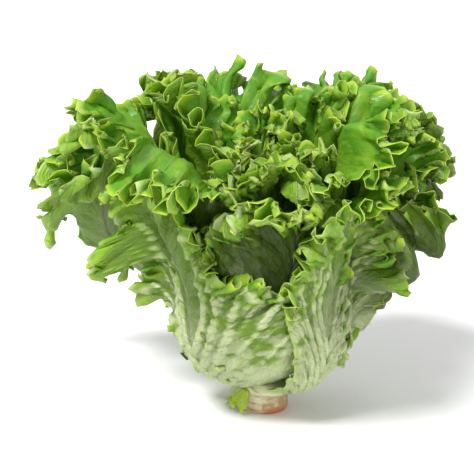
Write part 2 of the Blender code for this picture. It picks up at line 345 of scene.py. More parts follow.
def noise(u, v, seed):
    """Smooth noise from -1 to 1 over the plane, one hill or hollow to a unit."""
    table = np.random.default_rng(seed).uniform(-1.0, 1.0, (97, 89))
    low_u, low_v = np.floor(u).astype(int), np.floor(v).astype(int)
    part_u, part_v = smooth(u - low_u), smooth(v - low_v)

    def at(i, j):
        return table[(low_u + i) % 97, (low_v + j) % 89]

    near_row = between(at(0, 0), at(1, 0), part_u)
    far_row = between(at(0, 1), at(1, 1), part_u)
    return between(near_row, far_row, part_v)


class Leaf:
    """One leaf of the head, by its place in the arrangement."""

    def __init__(self, index):
        odd = ODD_LEAVES.get(index, {})
        self.index = index
        self.layer = OUTER_LAYER - index * LAYER_STEP
        self.facing = FIRST_FACING + GOLDEN_ANGLE * index + odd.get("turn", 0.0)
        size = smooth(self.layer / 0.55)
        self.length = between(HEART_LENGTH, OUTER_LENGTH, size) * odd.get("length", 1.0)
        self.half_width = between(HEART_HALF_WIDTH, OUTER_HALF_WIDTH, size) * odd.get("width", 1.0)
        self.neck = odd.get("neck", 0.0)
        self.right = odd.get("right", 1.0)
        self.skew = odd.get("skew", 0.0)
        self.dips = odd.get("dips", ())
        self.waves = max(5, round(self.edge(np.zeros(1))[2] / WAVE_LENGTH))
        self.starts = np.random.default_rng(2100 + index).uniform(0.0, 2.0 * np.pi, 8)

    def edge(self, side):
        return outline(self.length, self.half_width, self.neck, side)

    def phase(self, side):
        """Where each point of the edge is in its waves."""
        phase = np.pi * self.waves * side + self.starts[0]
        for turns, start in zip((2.3, 3.7, 5.9), self.starts[1:4]):
            phase = phase + WAVE_DRIFT / turns * 2.0 * np.sin(turns * side + start)
        return phase

    def free(self, side):
        """How free the edge is to wave: 0 at the feet of the leaf, 1 along its blade."""
        return smooth((1.02 - np.abs(side)) / 0.42)

    def surface(self, side, out, ragged=0.0):
        """Points of the blade's upper face, from rib (out 0) to edge (out 1)."""
        phase = self.phase(side)
        free = self.free(side)
        waved = smooth((out - 0.15) / 0.75) * free
        strength = 0.78 + 0.22 * np.sin(4.1 * side + self.starts[4])
        slide = OVERHANG * np.sin(2.0 * phase) * waved / (np.pi * self.waves)
        edge_x, edge_y, _ = self.edge(np.clip(side + slide, -1.0, 1.0))
        lobe = 1.0 + LOBE * waved * np.sin(phase + self.starts[5]) + ragged
        root_y = RIB_END * self.length * (1.0 - np.abs(side)) ** 1.7
        kept = 1.0
        for centre, spread, depth in self.dips:
            kept = kept - depth * np.exp(-(((side - centre) / spread) ** 2))
        share = np.where(side > 0.0, self.right, 1.0)
        flat_x = share * edge_x * (out * kept) ** 1.15 * lobe
        flat_y = root_y + (edge_y - root_y) * (out * kept) ** 0.9 * lobe
        flat_y = flat_y - CREST_CURL * free * out**5 * np.cos(phase) ** 2
        flat_y = np.maximum(flat_y, 0.0)
        radius, _ = profile(self.layer, self.facing, flat_y)
        turn = np.degrees(flat_x / radius) + self.skew * passed(flat_y, SKEW_RUN)
        turn = turn / (1.0 + (turn / (share * WIDEST_TURN)) ** 4) ** 0.25
        wave = -np.cos(phase) * waved * strength * WAVE_SHARE
        facing = self.facing + turn
        layer = self.layer + LAYER_TILT * turn + HALF_BAND * wave
        layer = layer + ripple(layer, facing, flat_y)
        radius, height = profile(layer, facing, flat_y)
        return bend(round_axis(radius, facing, height)), flat_x, flat_y


class FineLeaf(Leaf):
    """The same leaf with its small waves, teeth, puckers and veins, on a close grid."""

    def __init__(self, index, spacing, rows):
        super().__init__(index)
        self.seed = ODD_SEEDS.get(index, 500 + 10 * index)
        self.outermost = smooth((self.layer - 0.75) / 0.1)
        sides = np.linspace(-1.0, 1.0, 1201)
        edge, _, _ = self.surface(sides, np.full(len(sides), MEASURED_OUT))
        walked = walk(np.linalg.norm(np.diff(edge, axis=0), axis=1))
        columns = int(walked[-1] / spacing) // 2 * 2 + 1
        steps = np.linspace(0.0, walked[-1], columns)
        self.shape = (rows, columns)
        self.lay_grid(steps, walked, sides)
        edge = self.waved()[0].reshape(rows, columns, 3)[-1]
        waved = walk(np.linalg.norm(np.diff(edge, axis=0), axis=1))
        even = np.interp(np.linspace(0.0, waved[-1], columns), waved, steps)
        self.lay_grid(between(steps, even, EVENNESS), walked, sides)

    def lay_grid(self, steps, walked, sides):
        """Lays the columns of the grid at those metres along the plain edge."""
        rows = self.shape[0]
        out = 1.0 - (1.0 - np.linspace(0.0, 1.0, rows)) ** ROW_POWER
        side, out = np.meshgrid(np.interp(steps, walked, sides), out)
        self.side, self.out = side.ravel(), out.ravel()
        self.along = np.tile(steps - 0.5 * walked[-1], rows)
        self.across = self.out * self.half_width

    def wander(self, length, number):
        """Smooth noise that only changes along the edge."""
        return noise(self.along / length, 0.0 * self.along + 5.3 * number, self.seed + number)

    def ragged_edge(self):
        """Teeth and notches of the edge, as a share of the way out from the rib."""
        tooth_turn = np.pi * self.along / TOOTH_LENGTH + 3.0 * self.wander(14.0 * MM, 0)
        notch_turn = np.pi * self.along / NOTCH_LENGTH + 3.5 * self.wander(31.0 * MM, 1)
        tooth = np.abs(np.sin(tooth_turn)) ** 0.8
        notch = np.abs(np.sin(notch_turn)) ** 0.45
        tooth_size = TOOTH_DEPTH * (0.6 + 0.5 * self.wander(8.0 * MM, 2))
        notch_size = NOTCH_DEPTH * (0.6 + 0.6 * self.wander(19.0 * MM, 1))
        depth = (tooth_size * tooth + notch_size * (notch - 1.0)) / self.half_width
        depth = depth + WIDER_EDGES.get(self.index, 0.0)
        return depth * smooth((self.out - 0.78) / 0.22) * self.free(self.side)

    def directions(self, points):
        """Unit ways outwards, along the edge and up to it, and metres to a side and to a row."""
        grid = points.reshape(*self.shape, 3)
        by_side = np.gradient(grid, axis=1).reshape(-1, 3)
        by_out = np.gradient(grid, axis=0).reshape(-1, 3)
        outward = np.cross(by_side, by_out)
        outward /= np.linalg.norm(outward, axis=1)[:, None] + 1e-12
        column = np.linalg.norm(by_side, axis=1)[:, None] + 1e-12
        row = np.linalg.norm(by_out, axis=1)[:, None] + 1e-12
        pace = column[:, 0] / np.gradient(self.side.reshape(self.shape), axis=1).ravel()
        return outward, by_side / column, by_out / row, pace, row[:, 0]

    def edge_gaps(self, points):
        """Metres from each point out to the edge, along the blade."""
        steps = np.linalg.norm(np.diff(points.reshape(*self.shape, 3), axis=0), axis=2)
        to_edge = np.cumsum(steps[::-1], axis=0)[::-1]
        return np.concatenate([to_edge, np.zeros((1, self.shape[1]))]).ravel()

    def small_waves(self, points, gap, wave, seed):
        """Pushes the blade in and out, in waves that grow to the edge."""
        length, size, reach = wave
        outward, tangent, climb, _, _ = self.directions(points)
        place = self.along / length
        phase = 2.0 * np.pi * place + 2.6 * noise(place / 2.3, 0.0 * place, seed)
        phase = phase + 1.6 * noise(place / 1.7, self.out * 3.0, seed + 1)
        strength = 0.85 + 0.4 * noise(place / 1.6, 0.0 * place, seed + 2)
        reach = reach * (1.0 + 0.45 * noise(place / 1.3, 0.0 * place, seed + 3))
        grown = smooth(1.0 - gap / reach) ** 1.1 * self.risen
        grown = grown * smooth((1.0 - np.abs(self.side)) / 0.14)
        height = size * strength * grown
        push = (height * np.sin(phase))[:, None] * outward
        slide = (0.4 * height * np.sin(2.0 * phase))[:, None] * tangent
        droop = (0.35 * height * (1.0 - np.cos(2.0 * phase)))[:, None] * climb
        return points + push + slide - droop

    def ridges(self, pace, row):
        """How much of a side vein lies at each point, 1 along its middle."""
        ridge = np.zeros(len(self.side))
        draw = np.random.default_rng(self.seed + 3)
        for hand in (-1.0, 1.0):
            places = hand * (np.array(SIDE_VEINS) + draw.uniform(-0.018, 0.018, len(SIDE_VEINS)))
            pairs = list(zip(places, places[1:]))
            forks = [(place, place, 1.0) for place in places]
            forks += [(low, 0.5 * (low + high), 0.62) for low, high in pairs]
            forks += [(low, low + 0.26 * (high - low), 0.40) for low, high in pairs]
            for root, end, size in forks:
                leave = draw.uniform(0.10, 0.38)
                middle = between(root, end, smooth((self.out - leave) / 0.36))
                middle = middle + (hand - middle) * 0.42 * (1.0 - smooth(self.out / 0.85))
                sway = 0.022 * noise(self.out * 4.0, 0.0 * self.out + 7.3 * end, self.seed + 4)
                path = middle + sway * self.out
                skew = np.gradient(path.reshape(self.shape), axis=0).ravel() * pace / row
                away = (self.side - path) * pace / np.sqrt(1.0 + skew**2)
                width = (0.4 + 0.6 * size) * between(*VEIN_HALF_WIDTH, self.out)
                vein = size * np.exp(-((away / width) ** 2))
                if size < 1.0:
                    vein = vein * smooth((self.out - 0.35) / 0.3)
                ridge = np.maximum(ridge, vein)
        return ridge * smooth((1.0 - self.out) / 0.2)

    def puckers(self, flat_x, flat_y):
        """0 in the creases between the puckers, 1 on a pucker."""
        u, v = flat_y / PUCKER[0], flat_x / PUCKER[1]
        warp = 1.6 * noise(u * 0.4, v * 0.7, self.seed + 5)
        coarse = np.abs(noise(u + 0.8 * warp, v - 0.6 * warp, self.seed + 6))
        fine = np.abs(noise(1.9 * u - warp, 2.0 * v + warp, self.seed + 7))
        return np.clip(1.7 * (0.8 * coarse + 0.2 * fine), 0.0, 1.0)

    def waved(self):
        """The blade with its teeth and small waves, and where its points are on it."""
        points, flat_x, flat_y = self.surface(self.side, self.out, self.ragged_edge())
        gap = self.edge_gaps(points)
        facing = np.degrees(np.arctan2(points[:, 0], -points[:, 1]))
        calm = near(facing, *CALM) * self.outermost
        self.risen = smooth((flat_y / self.length - 0.40 * calm) / between(0.12, 0.24, calm))
        for number, wave in enumerate((BILLOW, SMALL_WAVE, CRINKLE)):
            points = self.small_waves(points, gap, wave, self.seed + 10 + 10 * number)
        return points, flat_x, flat_y, gap, facing

    def painted_shade_amount(self, height, gap, facing):
        """How much painted shade each point gets: in the hollow and on the side away from the light.
        """
        hollow = near(facing, *HOLLOW) * smooth((0.78 - self.layer) / 0.06)
        deep = smooth((HOLLOW_TOP - height) / (22.0 * MM))
        hollow = hollow * np.maximum(smooth((gap - 6.0 * MM) / (18.0 * MM)), deep)
        shaded = 0.80 * near(facing, *SHADED) * smooth((self.layer - 0.5) / 0.2)
        return np.maximum(hollow, shaded)

    def build(self, settings):
        """Points of the upper face, thickness, and what the colours need at each point."""
        points, flat_x, flat_y, gap, facing = self.waved()
        # Painted shade: how dark the hollow and the side away from the light are painted.
        dark = self.painted_shade_amount(points[:, 2], gap, facing)
        ribbed = near(facing, *RIBBED) * self.outermost
        outward, _, _, pace, row = self.directions(points)
        low = np.clip(flat_y / (self.length * 0.9), 0.0, 1.0)
        rib = np.exp(-((flat_x / (RIB_HALF_WIDTH * (1.0 - 0.8 * low))) ** 2))
        puckers = self.puckers(flat_x, flat_y)
        inside = smooth(self.out / 0.2) * smooth((1.05 - self.out) / 0.25)
        wet = smooth(self.layer * 1.4) * (1.0 - 0.45 * smooth((flat_y / self.length - 0.35) / 0.4))
        height = settings.pucker_height * between(0.45, 1.0, wet) * (0.45 - puckers) * inside
        ridge = self.ridges(pace, row)
        lift = settings.vein_lift * ridge * (1.0 - between(0.7, 0.3, ribbed) * self.out)
        lift = lift * smooth(self.out / 0.1) * np.maximum(wet, 1.2 * ribbed)
        points = points + (height * (1.0 - rib) * (1.0 - ridge) + lift)[:, None] * outward
        rib_size = between(settings.heart_rib, settings.outer_rib, smooth(self.layer))
        vein = settings.vein_height * ridge * (1.0 - 0.8 * self.out) * smooth(self.layer * 1.6)
        thin = between(1.0, 0.7, smooth((self.out - 0.9) / 0.1))
        thick = settings.blade_thickness * thin + rib_size * (1.0 - low) ** 0.8 * rib + vein
        marks = {
            "grown": flat_y / self.length,
            "rib": rib * (1.0 - low) ** 0.5,
            "vein": ridge,
            "edge_gap": gap / CHART_UNIT,
            "pucker": puckers * inside,
            # painted shade of the hollow and of the side away from the light
            "hollow": dark,
            "ribbed": ribbed,
        }
        return points, thick, marks


def add_grid(name, columns, rows):
    """A flat grid to be shaped, and the order of its points row by row."""
    bpy.ops.object.select_all(action="DESELECT")
    bpy.ops.mesh.primitive_grid_add(x_subdivisions=columns - 1, y_subdivisions=rows - 1, size=2.0)
    piece = bpy.context.object
    piece.name = piece.data.name = name
    places = np.empty(len(piece.data.vertices) * 3)
    piece.data.vertices.foreach_get("co", places)
    places = places.reshape(-1, 3)
    order = np.lexsort((np.round(places[:, 0], 4), np.round(places[:, 1], 4)))
    return piece, order


def by_vertex(order, values):
    """Values in row order, put in the order of the grid's own vertices."""
    sorted_values = np.empty(values.shape)
    sorted_values[order] = values
    return sorted_values


def shape_grid(piece, order, points, marks, chart):
    """Moves the grid's points, keeps their marks, and lays its chart as a UV map."""
    mesh = piece.data
    mesh.vertices.foreach_set("co", by_vertex(order, points).ravel())
    for name, values in marks.items():
        layer = mesh.attributes.new(name, "FLOAT", "POINT")
        layer.data.foreach_set("value", by_vertex(order, values))
    corners = np.empty(len(mesh.loops), dtype=int)
    mesh.loops.foreach_get("vertex_index", corners)
    mesh.uv_layers[0].name = "blade"
    mesh.uv_layers[0].data.foreach_set("uv", by_vertex(order, chart)[corners].ravel())
    mesh.update()


def close_seams(turn_outwards=False):
    """Merges the points of the active piece that lie on each other."""
    bpy.ops.object.mode_set(mode="EDIT")
    bpy.ops.mesh.select_all(action="SELECT")
    bpy.ops.mesh.remove_doubles(threshold=MERGE_DISTANCE)
    if turn_outwards:
        bpy.ops.mesh.normals_make_consistent(inside=False)
    bpy.ops.object.mode_set(mode="OBJECT")


def thicken(piece, order, thick, upper_slot):
    """Gives the blade its thickness outwards. Its upper face has the finish of upper_slot."""
    group = piece.vertex_groups.new(name="thickness")
    for i, share in enumerate(by_vertex(order, thick / thick.max())):
        group.add([i], float(share), "REPLACE")
    close_seams()
    solid = piece.modifiers.new("Thickness", "SOLIDIFY")
    solid.thickness = thick.max()
    solid.offset = 1.0
    solid.vertex_group = group.name
    solid.material_offset = upper_slot
    solid.material_offset_rim = upper_slot
    bpy.ops.object.modifier_apply(modifier=solid.name)
    piece.vertex_groups.clear()
    bpy.ops.object.shade_smooth()


def hand_over(piece, node):
    """The piece rides on the head's body and stands for its CAD node."""
    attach(piece, BODY)
    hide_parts(node)


class Finish:
    """A material, with short words for wiring its nodes and names for its colours."""

    def __init__(self, name, colours):
        self.material = bpy.data.materials.new(name)
        self.material.use_nodes = True
        self.colours = colours
        self.nodes = self.material.node_tree.nodes
        self.links = self.material.node_tree.links
        self.shader = self.nodes["Principled BSDF"].inputs

    def join(self, source, socket):
        """Links an output to the socket, or sets it to a number, vector or named colour."""
        if isinstance(source, bpy.types.NodeSocket):
            self.links.new(source, socket)
        elif isinstance(source, str):
            socket.default_value = (*self.colours[source], 1.0)
        else:
            socket.default_value = source

    def add(self, kind, output, inputs=(), **traits):
        """Adds a node with those traits and inputs, and returns one of its outputs."""
        node = self.nodes.new("ShaderNode" + kind)
        for name, value in traits.items():
            setattr(node, name, value)
        for name, source in dict(inputs).items():
            self.join(source, node.inputs[name])
        return node.outputs[output]

    def mark(self, name):
        return self.add("Attribute", "Fac", attribute_name=name)

    def chart(self, scale=(1.0, 1.0, 1.0)):
        """The blade's own chart, stretched by scale along and across."""
        chart = self.add("UVMap", "UV", uv_map="blade")
        return self.add("Mapping", "Vector", {"Vector": chart, "Scale": scale})

    def place(self, scale=(1.0, 1.0, 1.0)):
        """Where a point is in the head."""
        place = self.add("TexCoord", "Object")
        return self.add("Mapping", "Vector", {"Vector": place, "Scale": scale})

    def speckle(self, vector, scale, detail=3.0, roughness=0.6):
        inputs = {"Vector": vector, "Scale": scale, "Detail": detail, "Roughness": roughness}
        return self.add("TexNoise", "Fac", inputs)

    def net(self, vector, scale):
        """Distance from the lines of a net, 0 on a line."""
        inputs = {"Vector": vector, "Scale": scale}
        return self.add("TexVoronoi", "Distance", inputs, feature="DISTANCE_TO_EDGE")

    def plus(self, first, second):
        return self.add("Math", 0, enumerate((first, second)), operation="ADD")

    def times(self, first, second):
        return self.add("Math", 0, enumerate((first, second)), operation="MULTIPLY")

    def raised(self, base, value, weight):
        """The base with that much of the value added to it."""
        return self.add("Math", 0, enumerate((value, weight, base)), operation="MULTIPLY_ADD")

    def fit(self, value, low, high, to_low=0.0, to_high=1.0):
        """Takes low..high to to_low..to_high, smoothly and no further."""
        inputs = enumerate((value, low, high, to_low, to_high))
        return self.add("MapRange", 0, inputs, interpolation_type="SMOOTHSTEP")

    def blend(self, share, first, second):
        inputs = {"Factor": share, "A": first, "B": second}
        return self.add("Mix", "Result", inputs, data_type="RGBA")

    def relief(self, height, distance, strength, under=None):
        inputs = {"Height": height, "Distance": distance, "Strength": strength}
        if under is not None:
            inputs["Normal"] = under
        return self.add("Bump", "Normal", inputs)

    def glow(self, colour, normal, share):
        """Lets some of the light through, as a thin leaf does."""
        through = self.add("BsdfTranslucent", "BSDF", {"Color": colour, "Normal": normal})
        solid = self.nodes["Principled BSDF"].outputs["BSDF"]
        mixed = self.add("MixShader", "Shader", {"Fac": share, 1: solid, 2: through})
        self.links.new(mixed, self.nodes["Material Output"].inputs["Surface"])


class LeafFinish(Finish):
    """One face of a blade. Its age is 0 for the young heart leaves and 1 for the outermost."""

    def __init__(self, name, colours, underside, age):
        super().__init__(name, colours)
        self.underside = underside
        self.age = age
        self.grown, self.vein = self.mark("grown"), self.mark("vein")
        self.edge_gap, self.pucker = self.mark("edge_gap"), self.mark("pucker")
        self.ribbed = self.mark("ribbed")
        self.flat = self.chart()
        self.cloud = self.speckle(self.flat, 0.5)

    def either(self, under, upper):
        return under if self.underside else upper


def ripeness(w):
    """How green the blade is: less on ribs and veins, more on puckers and by the edge."""
    ripe = w.raised(w.plus(w.grown, -0.20), w.cloud, 0.40)
    for mark, weight in ((w.mark("rib"), -0.30), (w.vein, -0.22), (w.pucker, 0.60)):
        ripe = w.raised(ripe, mark, weight)
    band = w.fit(w.edge_gap, 0.2, 1.7, 0.45, 0.0)
    return w.plus(w.times(band, w.fit(w.grown, 0.25, 0.6)), ripe)


def blade_colour(w):
    """From the pale foot over islands to the deep green, with sunny and dark patches."""
    side = w.either("under", "upper")
    ripe = ripeness(w)
    start = between(0.20, 0.60, w.age) - w.either(0.0, 0.10)
    end = between(0.50, 0.94, w.age) - w.either(0.0, 0.14)
    colour = w.blend(w.fit(ripe, start, end), "foot", f"{side}_fresh")
    islands = w.fit(w.grown, 0.30, 0.62, 0.8, 0.0)
    islands = w.times(w.fit(ripe, start + 0.08, end), islands)
    colour = w.blend(islands, colour, "island")
    colour = w.blend(w.fit(ripe, 0.85, 1.35), colour, f"{side}_deep")
    patch = w.speckle(w.chart((1.0, 0.5, 1.0)), 0.9)
    patch = w.fit(patch, 0.52, 0.74, 0.0, w.either(0.5, 0.34))
    colour = w.blend(patch, colour, "sunny")
    if w.underside:
        return colour
    dapple = w.fit(w.speckle(w.flat, 1.9), 0.50, 0.70, 0.0, 0.45)
    return w.blend(dapple, colour, "upper_deep")


def edge_band(w, colour):
    """A fresh band along the edge, and painted shade darkening the valleys between the underside's
    veins.
    """
    fresh = w.fit(w.edge_gap, 0.05, 0.65, 0.88, 0.0)
    fresh = w.times(fresh, w.fit(w.cloud, 0.30, 0.55, 0.3, 1.0))
    if not w.underside:
        return w.blend(fresh, colour, "sunny")
    pale = w.blend(w.fit(w.cloud, 0.46, 0.60), "high_vein", "vein")
    # Painted shade: the valleys between the veins are painted a darker green.
    painted_valley_shade = w.fit(w.vein, 0.05, 0.45, 0.80, 0.0)
    painted_valley_shade = w.times(painted_valley_shade, w.fit(w.edge_gap, 0.8, 2.8))
    painted_valley_shade = w.times(painted_valley_shade, w.raised(1.0, w.ribbed, 0.2))
    painted_valley_shade = w.times(painted_valley_shade, w.fit(w.grown, 0.20, 0.48))
    return w.blend(painted_valley_shade, w.blend(fresh, colour, pale), "painted_valley_shade")


def vein_net(w):
    """Lines of the two fine nets of veins, and wider troughs along the coarser one."""
    swirl = w.add("TexNoise", "Color", {"Vector": w.flat, "Scale": 1.3})
    inputs = enumerate((swirl, (0.8, 0.8, 0.0), w.flat))
    warped = w.add("VectorMath", "Vector", inputs, operation="MULTIPLY_ADD")
    from_net = w.net(warped, NET_SCALE)
    coarse = w.times(w.fit(from_net, 0.0, 0.08, 1.0, 0.0), 0.6)
    fine = w.fit(w.net(warped, FINE_NET_SCALE), 0.0, 0.10, 1.0, 0.0)
    return w.raised(coarse, fine, 0.4), w.fit(from_net, 0.0, 0.30, 1.0, 0.0)


def veined(w, colour, lines):
    """Pale nets and side veins, greener higher up, and pale creases near the foot."""
    high = w.fit(w.raised(w.grown, w.ribbed, -0.30), 0.40, 0.66)
    vein_colour = w.blend(high, "vein", "high_vein")
    strong = w.fit(w.vein, 0.25, 0.95)
    colour = w.blend(w.times(lines, w.either(0.14, 0.10)), colour, vein_colour)
    colour = w.blend(w.times(strong, w.either(0.76, 0.34)), colour, vein_colour)
    crease = w.fit(w.pucker, 0.05, 0.30, w.either(0.42, 0.0), 0.0)
    crease = w.times(crease, w.fit(w.grown, 0.28, 0.60, 1.0, 0.10))
    return w.blend(crease, colour, "foot")


def painted_edge_highlight(w, colour):
    """A painted highlight: the thin bright line of the edge itself."""
    line = w.fit(w.edge_gap, 0.0, 0.15, 0.70, 0.0)
    line = w.times(line, w.fit(w.cloud, 0.35, 0.6, 0.3, 1.0))
    return w.blend(line, colour, "painted_edge_highlight")


def set_sheen(w):
    """A moist, uneven gloss, stronger on the underside."""
    grain = w.speckle(w.flat, 7.0)
    rough = w.fit(grain, 0.3, 0.7, w.either(0.30, 0.36), w.either(0.48, 0.56))
    w.join(rough, w.shader["Roughness"])
    w.shader["Specular IOR Level"].default_value = 0.32
    w.shader["Coat Weight"].default_value = w.either(0.18, 0.10)
    w.shader["Coat Roughness"].default_value = 0.10


def folds(w, lines, trough):
    """Relief too fine for the mesh: nets of veins, streaks of the foot, wrinkles."""
    streak = w.speckle(w.chart((3.6, 0.22, 1.0)), 1.8)
    streak = w.times(streak, w.fit(w.grown, 0.2, 0.7, 1.0, 0.1))
    wrinkle = w.speckle(w.place(), 330.0)
    wrinkle = w.times(wrinkle, w.fit(w.grown, 0.3, 0.8, 1.0, 0.3))
    normal = w.relief(lines, 0.45 * MM, w.either(0.7, -0.6))
    normal = w.relief(trough, 1.5 * MM, w.either(0.3, -1.0), normal)
    normal = w.relief(streak, 1.2 * MM, 0.8, normal)
    normal = w.relief(w.speckle(w.flat, 3.2), 0.9 * MM, 0.6, normal)
    return w.relief(wrinkle, 1.4 * MM, w.either(0.6, 0.8), normal)


def leaf_finish(name, colours, underside, age):
    """Pale foot, green blade, net of veins and a painted highlight along the edge, with light through
    it; the underside gets painted shade in the hollow.
    """
    w = LeafFinish(name, colours, underside, age)
    lines, trough = vein_net(w)
    colour = veined(w, edge_band(w, blade_colour(w)), lines)
    if underside:
        # Painted shade: the hollow and the side away from the light are painted a dark olive.
        painted_shade_share = w.times(w.mark("hollow"), w.fit(w.grown, 0.22, 0.42, 0.0, 0.84))
        colour = w.blend(painted_shade_share, colour, "painted_shade_colour")
    colour = painted_edge_highlight(w, colour)
    w.join(colour, w.shader["Base Color"])
    set_sheen(w)
    normal = folds(w, lines, trough)
    w.join(normal, w.shader["Normal"])
    through = w.blend(0.6, colour, "glow")
    if underside:
        # The light through the leaf is darkened there too, as painted shade.
        through = w.blend(painted_shade_share, through, "painted_shade_colour")
    w.glow(through, normal, between(0.40, 0.34, age))
    return w.material


def stem_finish(colours):
    """Pale stem with the browned, rust-edged cut and scars of lost leaves."""
    w = Finish("cut_stem", colours)
    inputs = {"Vector": w.place()}
    up = w.add("SeparateXYZ", "Z", inputs)
    east = w.fit(w.add("SeparateXYZ", "X", inputs), -0.008, 0.010)
    cloud = w.speckle(w.place((1.0, 1.0, 0.6)), 180.0, detail=4.0)
    fibre = w.speckle(w.place((1.0, 1.0, 0.12)), 900.0)
    band = w.speckle(w.place((0.35, 0.35, 1.0)), 260.0)
    dried = w.raised(w.raised(w.times(cloud, 0.5), band, 0.5), east, 0.16)
    colour = w.blend(w.fit(dried, 0.50, 0.66), "stem", "cut")
    colour = w.blend(w.fit(band, 0.60, 0.74, 0.0, 0.7), colour, "band")
    colour = w.blend(w.fit(up, 0.0160, 0.0215), colour, "collar")
    rust = w.fit(w.raised(up, cloud, 0.008), 0.0060, 0.0105, 1.0, 0.0)
    colour = w.blend(w.times(rust, w.fit(east, 0.2, 0.9, 0.25, 0.9)), colour, "rust")
    colour = w.blend(w.times(w.mark("scar"), 0.85), colour, "scar")
    w.join(colour, w.shader["Base Color"])
    w.join(w.fit(cloud, 0.3, 0.7, 0.35, 0.6), w.shader["Roughness"])
    normal = w.relief(fibre, 0.8 * MM, 0.7)
    w.join(w.relief(cloud, 1.6 * MM, 0.5, normal), w.shader["Normal"])
    return w.material


def stem_line():
    """The stem's outline from the middle of its cut to its top: radius and height."""
    line = [(0.0, HEART_ROOT[1] - 0.5 * MM)]
    for layer in np.linspace(0.0, 1.0, 7):
        radius = between(HEART_ROOT[0], OUTER_ROOT[0], layer)
        height = between(HEART_ROOT[1], OUTER_ROOT[1], layer)
        line.append((radius - STEM_GAP, height - STEM_GAP))
    line += [(WAIST_RADIUS - 0.2 * MM, 15.0 * MM), (WAIST_RADIUS, WAIST_HEIGHT)]
    line += [(CUT_RADIUS + 0.3 * MM, 1.6 * MM), (CUT_RADIUS - 0.8 * MM, 0.0), (0.0, 0.0)]
    return np.array(line[::-1])


def add_stem(settings):
    """The stem turned from its outline, with uneven sides, scars and a rough cut."""
    columns, rows = 181, 64
    piece, order = add_grid("lettuce_stem", columns, rows)
    turn, up = np.meshgrid(np.linspace(0.0, 360.0, columns), np.linspace(0.0, 1.0, rows))
    turn, up = turn.ravel(), up.ravel()
    line = stem_line()
    walked = walk(np.hypot(*np.diff(line, axis=0).T))
    radius = np.interp(up * walked[-1], walked, line[:, 0])
    height = np.interp(up * walked[-1], walked, line[:, 1])
    east, north, _ = round_axis(1.0, turn, height).T
    side_share = smooth((radius - 10.0 * MM) / (5.0 * MM)) * smooth(height / (2.0 * MM))
    bumps = noise(east * 3.0 + 9.0, north * 3.0 + height / (6.0 * MM), 71)
    sway = noise(east * 3.0 + 5.0, north * 3.0 + height / (4.0 * MM), 75)
    rings = height / SCAR_SPACING + 0.35 * east + 0.15 * sway
    scars = np.maximum(0.0, np.sin(rings * 2.0 * np.pi)) ** 8
    scars = scars * smooth(0.45 + 1.2 * noise(east * 2.5 + 7.0, north * 2.5 + 4.0, 72))
    collar = smooth((height - COLLAR_START) / (11.0 * MM)) * smooth((COLLAR_END - height) / (3.0 * MM))
    collar = COLLAR_REACH * collar * near(turn, *COLLAR)
    pinch = PINCH_DEPTH * smooth(1.0 - np.abs(height - PINCH_HEIGHT) / (3.0 * MM))
    radius = radius + side_share * settings.roughness_height * (1.3 * bumps - 0.6 * scars)
    radius = radius + side_share * (collar - pinch)
    hollow = smooth(1.0 - radius / (CUT_RADIUS * 0.9)) * (height < 0.1 * MM)
    grain = noise(radius * east / (3.0 * MM), radius * north / (3.0 * MM), 73)
    height = height + hollow * 0.5 * MM * (1.0 + grain)
    points = round_axis(radius, turn, height)
    shape_grid(piece, order, points, {"scar": scars * side_share}, np.stack([turn, up], axis=1))
    close_seams(turn_outwards=True)
    bpy.ops.object.shade_smooth_by_angle(angle=math.radians(50.0))
    piece.data.materials.append(stem_finish(colours_of(settings)))
    hand_over(piece, "stem")


def add_torn_base(settings, colours):
    """The ragged stub of a torn leaf, an apron round part of the stem."""
    columns, rows = 120, 40
    piece, order = add_grid("torn_stub", columns, rows)
    across, down = np.meshgrid(np.linspace(-1.0, 1.0, columns), np.linspace(1.0, 0.0, rows))
    across, down = across.ravel(), down.ravel()
    ragged = 1.0 - 0.22 * down * (1.0 + np.sin(9.0 * across + 1.0) * np.cos(4.0 * across))
    ragged -= 0.12 * down**3 * np.abs(noise(across * 13.0, 0.0 * across, 81))
    height = between(STUB_TOP, STUB_BOTTOM, down * ragged)
    bulge = 0.6 * np.sin(7.0 * across + 2.0 * down) * MM * down
    ribs = 0.9 * MM * noise(across * 5.0, down * 3.5, 82) * smooth(down * 2.0)
    radius = WAIST_RADIUS + 0.6 * MM + STUB_REACH * down**0.7 * (1.0 - 0.5 * across**2) + bulge + ribs
    points = round_axis(radius, STUB_FACING + STUB_TURN * across, height)
    green = smooth(0.5 + 2.2 * across + noise(across * 3.0, down * 3.0, 83))
    nothing = 0.0 * down
    marks = {
        "grown": between(0.12, 0.78, green),
        "rib": nothing,
        "vein": 0.5 * smooth(noise(across * 7.0, down * 2.0, 85)),
        "edge_gap": 3.0 + nothing,
        "pucker": np.abs(noise(across * 5.0, down * 4.0, 84)),
        "hollow": nothing,
        # No painted shade on the stub.
        "ribbed": nothing,
    }
    shape_grid(piece, order, points, marks, np.stack([across, down * 1.2], axis=1))
    bright = dict.fromkeys(("under_fresh", "under_deep", "island", "painted_valley_shade"), colours["sunny"])
    finish = leaf_finish("torn_stub_face", {**colours, **bright}, True, 1.0)
    piece.data.materials.append(finish)
    thicken(piece, order, np.full(len(order), settings.stub_thickness), 0)
    hand_over(piece, "torn_leaf_base")


def add_leaf(index, settings, finishes):
    """One fine leaf in place of its CAD node."""
    leaf = FineLeaf(index, settings.column_spacing, settings.rows)
    rows, columns = leaf.shape
    piece, order = add_grid(f"lettuce_leaf_{index + 1:02d}", columns, rows)
    points, thick, marks = leaf.build(settings)
    chart = np.stack([leaf.along, leaf.across], axis=1) / CHART_UNIT + 3.7 * index
    shape_grid(piece, order, points, marks, chart)
    for finish in finishes:
        piece.data.materials.append(finish)
    thicken(piece, order, thick, 1)
    node = f"leaf_{index + 1:02d}"
    hand_over(piece, node)


def metres(name, description, default):
    return FloatProperty(name=name, description=description, default=default, unit="LENGTH")


def tint(name, description, *default):
    return FloatVectorProperty(name=name, description=description, default=default, subtype="COLOR")


